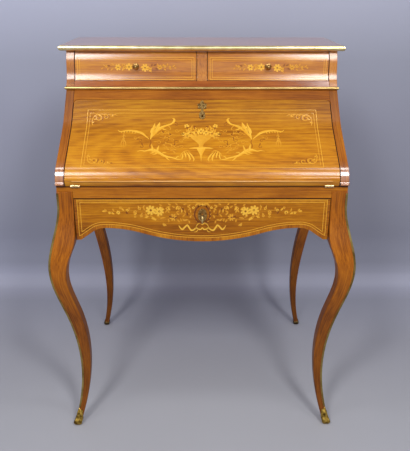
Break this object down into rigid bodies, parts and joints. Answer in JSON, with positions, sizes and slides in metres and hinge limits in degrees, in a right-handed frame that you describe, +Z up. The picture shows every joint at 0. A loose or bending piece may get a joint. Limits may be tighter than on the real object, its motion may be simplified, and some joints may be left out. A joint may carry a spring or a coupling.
{
  "type": "slant-front desk",
  "caption": "Lady's slant-front writing desk with S-shaped fall flap, ogee drawers above, serpentine drawer below and cabriole legs with brass sabots.",
  "frame": {"origin": "on the floor under the middle of the whole desk's box", "axes": "+X to the viewer's right, +Y to the back, +Z up"},
  "size_m": [0.7592, 0.549, 0.97],
  "materials": {
    "walnut": "French-polished walnut and kingwood veneer",
    "leg_wood": "French-polished solid wood",
    "flap_wood": "French-polished veneer with marquetry",
    "drawer_wood": "French-polished veneer with marquetry",
    "top_wood": "French-polished veneer",
    "oak": "plain oak",
    "brass": "polished gilt brass",
    "leather": "tooled brown leather",
    "iron": "plain iron"
  },
  "bodies": {
    "case": {"front_left_leg": "leg_wood", "front_left_sabot": "brass", "front_right_leg": "leg_wood", "front_right_sabot": "brass", "back_left_leg": "leg_wood", "back_left_sabot": "brass", "back_right_leg": "leg_wood", "back_right_sabot": "brass", "leg_brass_strips": "brass", "left_apron": "walnut", "right_apron": "walnut", "back_apron": "walnut", "front_rail": "walnut", "drawer_runners": "oak", "drawer_kickers": "oak", "writing_board": "walnut", "writing_leather": "leather", "left_side_panel": "walnut", "right_side_panel": "walnut", "back_panel": "oak", "header_rail": "walnut", "upper_front_rail": "walnut", "upper_bottom_board": "oak", "centre_post": "walnut", "upper_divider": "oak", "top_board": "top_wood", "top_brass_edge": "brass", "brass_strip": "brass", "partition_left": "oak", "partition_right": "oak", "inner_shelves": "oak", "hinge_leaves_fixed": "brass", "hinge_pins": "iron"},
    "flap": {"flap": "flap_wood", "flap_leather": "leather", "flap_lock_plate": "brass", "flap_lock": "iron", "hinge_leaves_flap": "brass"},
    "flap_bolt": {"flap_lock_bolt": "brass"},
    "large_drawer": {"drawer_front": "drawer_wood", "drawer_sides": "oak", "drawer_bottom": "oak", "drawer_back": "oak", "drawer_lock": "iron", "drawer_key_plate": "brass"},
    "key": {"drawer_key": "brass"},
    "drawer_bolt": {"drawer_lock_bolt": "brass"},
    "upper_drawer_left": {"upper_drawer_left_front": "drawer_wood", "upper_drawer_left_box": "oak", "upper_drawer_left_knob": "brass"},
    "upper_drawer_right": {"upper_drawer_right_front": "drawer_wood", "upper_drawer_right_box": "oak", "upper_drawer_right_knob": "brass"},
    "inner_drawer_left": {"inner_drawer_left": "oak", "inner_drawer_left_knob": "brass"},
    "inner_drawer_right": {"inner_drawer_right": "oak", "inner_drawer_right_knob": "brass"}
  },
  "joints": [
    {"name": "flap_fall", "type": "hinge", "parent": "case", "child": "flap", "pos_m": [0, -0.2232, 0.666], "axis": [1, 0, 0], "range_deg": [0, 140.9]},
    {"name": "flap_bolt_throw", "type": "slide", "parent": "flap", "child": "flap_bolt", "axis": [0, 0.776, 0.6307], "range_m": [0, 0.006]},
    {"name": "large_drawer_slide", "type": "slide", "parent": "case", "child": "large_drawer", "axis": [0, -1, 0], "range_m": [0, 0.3]},
    {"name": "key_turn", "type": "hinge", "parent": "large_drawer", "child": "key", "pos_m": [0, -0.2252, 0.592], "axis": [0, 1, 0], "range_deg": [0, 90]},
    {"name": "drawer_bolt_throw", "type": "slide", "parent": "large_drawer", "child": "drawer_bolt", "axis": [0, 0, 1], "range_m": [0, 0.006]},
    {"name": "upper_drawer_left_slide", "type": "slide", "parent": "case", "child": "upper_drawer_left", "axis": [0, -1, 0], "range_m": [0, 0.17]},
    {"name": "upper_drawer_right_slide", "type": "slide", "parent": "case", "child": "upper_drawer_right", "axis": [0, -1, 0], "range_m": [0, 0.17]},
    {"name": "inner_drawer_left_slide", "type": "slide", "parent": "case", "child": "inner_drawer_left", "axis": [0, -1, 0], "range_m": [0, 0.12]},
    {"name": "inner_drawer_right_slide", "type": "slide", "parent": "case", "child": "inner_drawer_right", "axis": [0, -1, 0], "range_m": [0, 0.12]}
  ],
  "couplings": [
    {"joint": "drawer_bolt_throw", "follows": "key_turn", "m_per_rad": 0.0038197}
  ]
}
